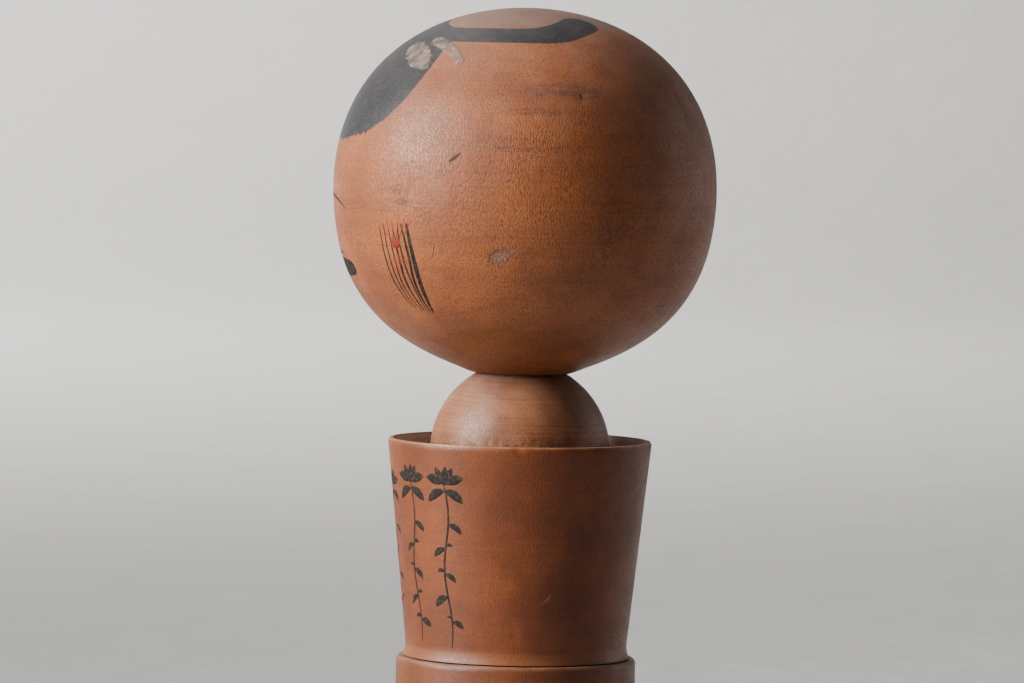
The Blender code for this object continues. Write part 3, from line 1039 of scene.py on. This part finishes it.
# -------------------------------------------------------------------- operators
class KOKESHI_OT_head(bpy.types.Operator):
    """Turn the head and paint its fringe and crown ring"""

    bl_idname = "kokeshi.head"
    bl_label = "Head"

    def execute(self, context):
        sizes, colours = context.scene.doll_sizes, context.scene.doll_colours
        outline = fine_outline("head", 14 * MM, SEAT_Z + 30 * MM, sizes)
        piece = turned_piece("head_wood", outline, 1, head_material(outline, colours), sizes)
        mark_hair(piece, outline, sizes)
        for place, half_width, half_height, depth, turn in (
            ((171.5, 274.5), 1.6, 7, 0.35, 6),
            (SCAR, 4, 3, 0.18, 0),
            ((128.2, 277.1), 1.4, 1.8, 0.35, 0),
            ((-75, 266), 2.5, 2, 0.2, 0),
        ):
            centre = on_surface(outline, place[0], place[1] * MM)
            dent(piece, centre, (half_width * MM, half_height * MM), depth * MM, turn)
        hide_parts("head")
        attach(piece, "head")
        return {"FINISHED"}


def mark_hair(piece, outline, sizes):
    """Stores how far each point of the head is outside the hair, negative within it."""
    places = vertex_places(piece.data)
    heights = places[:, 2]
    degrees = np.degrees(np.arctan2(places[:, 0], -places[:, 1]))

    def half_angle(height):
        """The fringe opens at once from its lower edge, then widens slowly."""
        share = np.clip((height - sizes.fringe_bottom) / (sizes.fringe_top - sizes.fringe_bottom), 0, 1)
        return math.degrees(sizes.fringe_half_angle) * (1 - (1 - share) ** 2) ** 0.2

    steps = np.linspace(0, 1, 160) ** 2
    edge_heights = sizes.fringe_bottom + (CROWN_Z - 2 * MM - sizes.fringe_bottom) * steps
    side = np.array([on_surface(outline, half_angle(h), h) for h in edge_heights])
    across = np.linspace(0, half_angle(edge_heights[1]), 60)
    lower = np.array([on_surface(outline, a, sizes.fringe_bottom) for a in across])
    edge = np.concatenate([lower, side])
    edge = np.concatenate([edge, edge * (-1, 1, 1)])
    reach = np.full(len(places), 1.0)
    block = 4000  # points at a time, to spare memory
    for start in range(0, len(places), block):
        gaps = np.linalg.norm(places[start : start + block, None] - edge[None], axis=2)
        reach[start : start + block] = gaps.min(axis=1)
    is_fringe = (heights > sizes.fringe_bottom) & (np.abs(degrees) < half_angle(heights))
    fringe = np.where(is_fringe, -reach, reach)

    # Two bands round the bare disc of the crown, with round ends at the back
    from_axis = np.hypot(places[:, 0], places[:, 1])
    to_side, to_back = np.abs(places[:, 0]), places[:, 1]
    corner, disc_forward = 9 * MM, 2 * MM
    bands = rounded_max(from_axis - sizes.crown_radius, to_back - sizes.crown_back, corner)
    across_disc = np.abs(to_back + disc_forward) - sizes.disc_half_depth
    disc = rounded_max(from_axis - sizes.disc_radius, across_disc, corner)
    bands = rounded_max(bands, -disc, 2 * MM)
    gap = np.where(to_back > 0, sizes.band_gap / 2 - to_side, -1.0)
    bands = rounded_max(bands, gap, 6 * MM)
    crown = np.minimum(np.maximum(fringe, -disc), bands)
    hair = np.where(heights > SEAT_Z + 60 * MM, crown, fringe)
    attribute = piece.data.attributes.new("hair_edge", "FLOAT", "POINT")
    attribute.data.foreach_set("value", hair.astype(np.float32))


def rounded_max(first, second, radius):
    """The larger of two distances, eased where they are alike."""
    alike = np.maximum(radius - np.abs(first - second), 0) / radius
    return np.maximum(first, second) + alike**2 * radius / 4


class KOKESHI_OT_shoulder(bpy.types.Operator):
    """Turn the domed shoulder that the head stands on"""

    bl_idname = "kokeshi.shoulder"
    bl_label = "Shoulder Dome"

    def execute(self, context):
        sizes, colours = context.scene.doll_sizes, context.scene.doll_colours
        outline = fine_outline("shoulder_dome", 13.2 * MM, RIM_Z - HOLLOW_DEPTH, sizes)
        piece = turned_piece("dome_wood", outline, 2, dome_material(colours), sizes)
        rng = random.Random(4)
        for degrees in (70, 76, 88, 97, 104, 118, 131, 144, 214, 250, 301, 338):
            degrees += rng.uniform(-2, 2)
            centre = on_surface(outline, degrees, RIM_Z + rng.uniform(-0.3, 0.6) * MM)
            dent(piece, centre, (0.7 * MM, 0.7 * MM), rng.uniform(0.12, 0.3) * MM)
        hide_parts("shoulder_dome")
        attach(piece, "body")
        return {"FINISHED"}


class KOKESHI_OT_body(bpy.types.Operator):
    """Turn the two tiers of the body"""

    bl_idname = "kokeshi.body"
    bl_label = "Body Tiers"

    def execute(self, context):
        sizes, colours = context.scene.doll_sizes, context.scene.doll_colours
        outline = fine_outline("upper_body", 13.4 * MM, RIM_Z - HOLLOW_DEPTH, sizes)
        upper = turned_piece("upper_body_wood", outline, 3, upper_body_material(colours), sizes)
        for degrees, width, depth in ((109.2, 1.6, 0.5), (188.1, 2.0, 0.6), (-64, 1.5, 0.4)):
            nick = on_surface(outline, degrees, RIM_Z - 0.9 * MM)
            dent(upper, nick, (width * MM, 0.8 * MM), depth * MM)
        dent(upper, on_surface(outline, 109, 117.2 * MM), (0.9 * MM, 0.9 * MM), 0.25 * MM)
        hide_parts("upper_body")
        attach(upper, "body")

        outline = fine_outline("lower_body", 9.6 * MM, TIER_Z - 1 * MM, sizes)
        lower = turned_piece("lower_body_wood", outline, 4, lower_body_material(colours), sizes)
        dent(lower, on_surface(outline, 62, 1.4 * MM), (3 * MM, 1.2 * MM), 0.5 * MM)
        dent(lower, on_surface(outline, 231, 44 * MM), (2 * MM, 3 * MM), 0.25 * MM)
        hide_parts("lower_body")
        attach(lower, "body")
        return {"FINISHED"}


class KOKESHI_OT_hidden_joints(bpy.types.Operator):
    """Give the neck peg and the dowel their bare wood"""

    bl_idname = "kokeshi.hidden_joints"
    bl_label = "Neck Peg and Dowel"

    def execute(self, context):
        material = bare_wood_material(context.scene.doll_colours)
        for node, slot in (("neck_peg", "peg_wood"), ("body_dowel", "dowel_wood")):
            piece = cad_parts[node]
            piece.data.materials.clear()
            piece.data.materials.append(material)
        return {"FINISHED"}


class KOKESHI_OT_side_locks(bpy.types.Operator):
    """Brush the locks of hair at both sides of the face, with their red spots"""

    bl_idname = "kokeshi.side_locks"
    bl_label = "Side Locks"

    def execute(self, context):
        sizes, colours = context.scene.doll_sizes, context.scene.doll_colours
        outline = cad_outline("head")
        head = bpy.data.objects["head_wood"]
        top, bottom = sizes.lock_top / MM, sizes.lock_bottom / MM
        middle = (top + bottom) / 2
        rng = random.Random(7)
        strokes = []
        for i in range(sizes.lock_strokes):
            t = i / (sizes.lock_strokes - 1)
            wobble = rng.uniform(-0.35, 0.35)
            load = 0.8 * rng.uniform(0.7, 1.3)
            path = [
                (61.5 + 10.7 * t + wobble, top - rng.uniform(0, 1.6) * (1 - t)),
                (61.7 + 12.0 * t - wobble * 0.8, middle + 4),
                (63.4 + 10.9 * t + wobble, middle - 5),
                (67.8 + 8.2 * t + rng.uniform(-0.6, 0.6), bottom + rng.uniform(0, 2.2) * (1 - t)),
            ]
            strokes.append(brush_stroke(outline, path, load + 0.9 * t**5, (0.5, 1.0, 0.4)))
        material = brush_material("lock_ink", colours.ink, 0.2)
        lay_strokes("side_locks", mirrored(strokes), head, "head", material, sizes.paint_film)

        spots = [round_spot(outline, 67.5, 233.4, 3.9)]
        for i in range(6):
            t = i / 5
            path = [(64.3 + 6.5 * t, 234.8), (61.8 + 12.5 * t, 240.4 + rng.uniform(-1.6, 1.6))]
            spots.append(brush_stroke(outline, path, 0.5, (0.5, 0.7, 0.2)))
        for t in (0.2, 0.45, 0.7):
            path = [(64 + 8 * t, 230.5), (65 + 8.5 * t, 224 + 4 * t)]
            spots.append(brush_stroke(outline, path, 0.6, (0.6, 0.6, 0.2)))
        material = brush_material("spot_red", colours.red, 0.2)
        film = sizes.paint_film * 1.7
        lay_strokes("lock_spots", mirrored(spots), head, "head", material, film)
        return {"FINISHED"}


class KOKESHI_OT_face(bpy.types.Operator):
    """Brush the brows, eyes, nose and mouth"""

    bl_idname = "kokeshi.face"
    bl_label = "Face"

    def execute(self, context):
        sizes, colours = context.scene.doll_sizes, context.scene.doll_colours
        outline = cad_outline("head")
        head = bpy.data.objects["head_wood"]
        eye = sizes.eye_height / MM
        half_face = brush_strokes(outline, (
            ([(13, 243.2), (23, 246.2), (33.5, 245.1), (42.0, 242.3)], 0.9, (0.5, 1.0, 0.2)),
            ([(14, eye - 1.6), (23, eye - 0.2), (32, eye + 0.2), (40.6, eye - 0.2)], 6.4, (0.3, 1.0, 0.6)),
            ([(15.5, eye - 1.5), (24, eye + 4.2), (28, eye + 4.6), (33, eye + 3.8)], 0.7, (0.5, 1.0, 0.2)),
            ([(3.6, 229.5), (4.4, 221), (5.4, 214.5), (3.2, 212.5)], 0.8, (0.4, 1.0, 0.5)),
        ))
        ink = brush_material("face_ink", colours.ink, 0.1)
        lay_strokes("brows_eyes_nose", mirrored(half_face), head, "head", ink, sizes.paint_film)

        lip_end = (0.4, 1.0, 0.3)
        upper_lip = [(-8.5, 205.8), (-3.5, 206.6), (0, 206.0), (3.5, 206.6), (8.5, 205.8)]
        lower_lip = [(-5.5, 204.7), (0, 203.9), (5.5, 204.7)]
        lips = brush_strokes(outline, ((upper_lip, 1.7, lip_end), (lower_lip, 1.5, lip_end)))
        red = brush_material("lip_red", colours.red, 0.1)
        lay_strokes("mouth", lips, head, "head", red, sizes.paint_film)
        return {"FINISHED"}


class KOKESHI_OT_head_marks(bpy.types.Operator):
    """Add the stray dark marks and the scraps of old paper on the head"""

    bl_idname = "kokeshi.head_marks"
    bl_label = "Head Marks and Paper"

    def execute(self, context):
        sizes, colours = context.scene.doll_sizes, context.scene.doll_colours
        outline = cad_outline("head")
        head = bpy.data.objects["head_wood"]
        marks = brush_strokes(outline, (
            ([(86.3, 257.5), (88.0, 258.5), (90.3, 260.4)], 1.0, (0.4, 1.0, 0.3)),
            ([(128.1, 278.1), (128.3, 276.1)], 0.9, (0.7, 1.0, 0.5)),
            ([(82.0, 233.4), (80.8, 229.2)], 0.3, (0.4, 1.0, 0.3)),
            ([(-97, 241), (-95.5, 243.2)], 0.7, (0.4, 1.0, 0.3)),
        ))
        grime = brush_material("dark_scratch", (0.03, 0.02, 0.016, 1), 0.1)
        lay_strokes("dark_marks", marks, head, "head", grime, sizes.paint_film)

        scraps = brush_strokes(outline, (
            ([(45, 291.3), (56, 289.0), (69.0, 284.4)], 8.2, (0.6, 1.0, 0.2)),
            ([(58, 292.9), (70, 291.2), (83.3, 286.2)], 5.2, (0.9, 0.8, 0.55)),
        ))
        paper = paper_material(colours)
        lay_strokes("paper_scraps", scraps, head, "head", paper, 0.09 * MM, step=0.5 * MM)
        return {"FINISHED"}


class KOKESHI_OT_vine(bpy.types.Operator):
    """Brush the trailing vines down the upper body, and add its few scratches"""

    bl_idname = "kokeshi.vine"
    bl_label = "Painted Vines"

    def execute(self, context):
        sizes, colours = context.scene.doll_sizes, context.scene.doll_colours
        outline = cad_outline("upper_body")
        surface = bpy.data.objects["upper_body_wood"]
        top, bottom = sizes.vine_top / MM, sizes.vine_bottom / MM
        strong = vine(outline, 74.5, top, bottom, 1.0, 11) + vine(outline, 52.5, top, bottom + 1, 1.0, 12)
        material = brush_material("vine_ink", colours.ink, 0.14)
        lay_strokes("vines", strong, surface, "body", material, sizes.paint_film)
        faint = vine(outline, 30, top - 2, bottom + 6, 0.8, 13)
        material = brush_material("faint_vine_ink", colours.ink, 0.34)
        lay_strokes("faint_vine", faint, surface, "body", material, sizes.paint_film)

        scratches = brush_strokes(outline, (
            ([(121.8, 126.7), (125.4, 128.6), (128.5, 131.1)], 0.35, (0.3, 1.0, 0.3)),
            ([(124.6, 127.4), (127.0, 128.8)], 0.3, (0.4, 1.0, 0.3)),
            ([(-120.0, 142.0), (-116.5, 139.5)], 0.4, (0.3, 1.0, 0.3)),
        ))
        pale, slot = brush_material("pale_scratch", (0.15, 0.07, 0.038, 1), 0.34), "upper_body_wood"
        lay_strokes("body_scratches", scratches, surface, "body", pale, sizes.paint_film)
        return {"FINISHED"}


def vine(outline, degrees, top, bottom, weight, seed):
    """A wavy stem with a broad leafy head and smaller leaves at alternate sides below it."""
    rng = random.Random(seed)
    mm_to_degrees = math.degrees(MM / BODY_RADIUS)
    strokes = []

    def add(path, width, press):
        around = [(degrees + x * mm_to_degrees, z) for x, z in path]
        strokes.append(brush_stroke(outline, around, width * weight, press))

    def leaf(x, z, side, size, droop):
        """One pressed stroke, pointed at both ends."""
        tip = (x + side * size, z - droop)
        middle = (x + side * size * 0.5, z - droop * 0.35 + 0.5)
        add([(x, z), middle, tip], size * 0.5, (0.25, 1.0, 0.08))

    for side in (-1, 1):
        leaf(0, top - 4.0, side, 6.4, -1.6)
        leaf(0, top - 6.5, side, 6.0, 3.4)
        leaf(0, top - 4.4, side * 0.55, 5.2, -5.0)
    leaf(0, top - 5.0, 0.12, 5.4, -6.0)

    def sway(t):
        return 1.1 * math.sin(t * 9.0)

    stem_top = top - 5
    stem_length = stem_top - bottom
    stem = [(sway(t), stem_top - stem_length * t) for t in np.linspace(0, 1, 10)]
    add(stem, 0.8, (0.8, 1.0, 0.5))
    z, side = top - 16.5, 1
    while z > bottom + 2:
        x = sway((stem_top - z) / stem_length)
        leaf(x, z, side, rng.uniform(3.8, 5.0), rng.uniform(1.8, 3.2))
        if rng.random() < 0.6:
            leaf(x, z + 1.0, -side, rng.uniform(2.0, 3.0), rng.uniform(-0.8, 0.8))
        z -= rng.uniform(6.6, 8.0)
        side = -side
    return strokes


class KOKESHI_OT_studio(bpy.types.Operator):
    """Set up the pale room, the soft light and the camera"""

    bl_idname = "kokeshi.studio"
    bl_label = "Studio"

    def execute(self, context):
        studio = context.scene.studio
        build_room(studio)
        build_lights(studio)
        build_camera(studio)
        return {"FINISHED"}


def build_room(studio):
    """A round pale floor that curves up into a plaster wall, with painted shade on the floor round the doll.
    """
    radius, cove, height = 6.0, 1.2, 3.4
    cove_steps, steps_around = 12, 96
    outline = [(0, 0), (radius - cove, 0)]
    for step in range(1, cove_steps + 1):
        turn = math.pi / 2 * step / cove_steps
        outline.append((radius - cove + cove * math.sin(turn), cove - cove * math.cos(turn)))
    outline.append((radius, height))
    model = bmesh.new()
    # Half a millimetre below the foot, so that the two flat faces stay apart
    points = [model.verts.new((r, 0, z - 0.5 * MM)) for r, z in outline]
    edges = [model.edges.new(pair) for pair in zip(points, points[1:])]
    bmesh.ops.spin(
        model, geom=points + edges, cent=(0, 0, 0), axis=(0, 0, 1),
        angle=2 * math.pi, steps=steps_around, use_merge=True,
    )
    bmesh.ops.remove_doubles(model, verts=model.verts, dist=1e-5)
    bmesh.ops.recalc_face_normals(model, faces=model.faces)
    bmesh.ops.reverse_faces(model, faces=model.faces)
    mesh = bpy.data.meshes.new("room")
    model.to_mesh(mesh)
    model.free()
    mesh.shade_smooth()
    material, nodes, shader = new_material("plaster", 0.9)
    place = nodes.place()
    lumps = nodes.noise(place, 9.0, 3.0, 0.5)
    grain = nodes.noise(place, 70.0, 3.0, 0.6)
    relief = nodes.math("MULTIPLY_ADD", grain, 0.12, lumps)
    bump = nodes.add("ShaderNodeBump", {"Strength": 0.4, "Distance": 0.02, "Height": relief})
    nodes.feed(shader.inputs["Normal"], bump.outputs[0])
    height = nodes.separate(place)["Z"]
    pale = nodes.mix(nodes.ramp(height, 0.0, 0.35), studio.floor, studio.wall)
    # Painted shade: the floor is darker round the doll and fades out by 1.4 m
    shade_round_doll = nodes.ramp(nodes.vector_math("LENGTH", place), 0.2, 1.4, 0.55, 0.0)
    nodes.feed(shader.inputs["Base Color"], nodes.mix(shade_round_doll, pale, (0.2, 0.2, 0.2, 1)))
    mesh.materials.append(material)
    room = bpy.data.objects.new("room", mesh)
    bpy.context.scene.collection.objects.link(room)


def camera_axes(studio):
    """The camera's right, up and backward directions."""
    a, e, tilt = studio.azimuth, studio.elevation, studio.tilt
    back = Vector((math.sin(a) * math.cos(e), -math.cos(a) * math.cos(e), math.sin(e)))
    right = Vector((math.cos(a), math.sin(a), 0))
    up = back.cross(right)
    return (
        right * math.cos(tilt) + up * math.sin(tilt), up * math.cos(tilt) - right * math.sin(tilt), back
    )


def place_light(name, location, aim, size, power, tint):
    """An area light that points at its aim."""
    light = bpy.data.lights.new(name, "AREA")
    light.shape = "RECTANGLE"
    light.size, light.size_y = size
    light.energy = power
    light.color = tint
    lamp = bpy.data.objects.new(name, light)
    bpy.context.scene.collection.objects.link(lamp)
    lamp.location = location
    lamp.rotation_euler = (Vector(aim) - Vector(location)).to_track_quat("-Z", "Y").to_euler()
    return lamp


def build_lights(studio):
    """Two window panes on the left, a bounce on the right, a ceiling light behind and a faint room light."""
    right, _, back = camera_axes(studio)
    aim = Vector((0, 0, studio.aim_height))
    window_distance = 1.7
    for name, direction, share in (
        ("window_top", (-0.80, 0.26, 0.43), 0.82), ("window_foot", (-0.92, 0.38, 0.10), 0.18)
    ):
        toward = right * direction[0] + back * direction[1] + Vector((0, 0, direction[2]))
        pane = place_light(
            name, aim + toward.normalized() * window_distance, aim, (1.0, 0.8),
            studio.key_power * share, (1, 0.985, 0.96),
        )
        pane.data.spread = math.radians(60)

    behind = Vector((-back.x, -back.y, 0)).normalized()
    place_light(
        "wall_bounce", right * 1.4 + behind * 0.8 + Vector((0, 0, 0.45)), aim, (0.9, 0.9),
        studio.bounce_power, (1, 0.97, 0.94),
    )
    lamp = behind * 3.8 - right * 1.3 + Vector((0, 0, 3.3))
    ceiling = place_light(
        "ceiling_light", lamp, lamp - Vector((0, 0, 3)), (3.0, 2.0), studio.ceiling_power, (1, 0.98, 0.96)
    )
    ceiling.data.spread = math.radians(112)

    world = bpy.data.worlds.new("room_light")
    world.use_nodes = True
    background = world.node_tree.nodes["Background"]
    background.inputs["Color"].default_value = (0.95, 0.97, 1.0, 1)
    background.inputs["Strength"].default_value = studio.room_light
    bpy.context.scene.world = world


def build_camera(studio):
    """The scene's camera, which aims a little beside the doll's axis."""
    right, up, back = camera_axes(studio)
    camera = bpy.data.cameras.new("camera")
    camera.sensor_width = 36
    camera.lens = studio.lens
    camera.clip_start, camera.clip_end = 0.05, 30
    beside_axis = 3 * MM
    level_right = Vector((math.cos(studio.azimuth), math.sin(studio.azimuth), 0))
    aim = Vector((0, 0, studio.aim_height)) - level_right * beside_axis
    holder = bpy.data.objects.new("camera", camera)
    bpy.context.scene.collection.objects.link(holder)
    turn = Matrix((right, up, back)).transposed().to_4x4()
    holder.matrix_world = Matrix.Translation(aim + back * studio.distance) @ turn
    bpy.context.scene.camera = holder


# ------------------------------------------------------------ panel and running
STEPS = (
    KOKESHI_OT_head,
    KOKESHI_OT_shoulder,
    KOKESHI_OT_body,
    KOKESHI_OT_hidden_joints,
    KOKESHI_OT_side_locks,
    KOKESHI_OT_face,
    KOKESHI_OT_head_marks,
    KOKESHI_OT_vine,
    KOKESHI_OT_studio,
)
SETTINGS = {"doll_sizes": DollSizes, "doll_colours": DollColours, "studio": StudioSettings}


class KOKESHI_PT_panel(bpy.types.Panel):
    """Lists the steps that dress the doll, and the sizes and colours they use"""

    bl_idname = "KOKESHI_PT_panel"
    bl_label = "Kokeshi Doll"
    bl_space_type = "VIEW_3D"
    bl_region_type = "UI"
    bl_category = "Kokeshi"

    def draw(self, context):
        for step in STEPS:
            self.layout.operator(step.bl_idname)
        for name, group in SETTINGS.items():
            box = self.layout.box()
            for setting in group.__annotations__:
                box.prop(getattr(context.scene, name), setting)


CLASSES = (*SETTINGS.values(), *STEPS, KOKESHI_PT_panel)


def register():
    for item in CLASSES:
        bpy.utils.register_class(item)
    for name, group in SETTINGS.items():
        setattr(bpy.types.Scene, name, PointerProperty(type=group))


def unregister():
    for name in SETTINGS:
        delattr(bpy.types.Scene, name)
    for item in reversed(CLASSES):
        bpy.utils.unregister_class(item)


def main():
    """Dresses the doll step by step."""
    register()
    for step in STEPS:
        family, name = step.bl_idname.split(".")
        getattr(getattr(bpy.ops, family), name)()


if __name__ == "__main__":
    main()
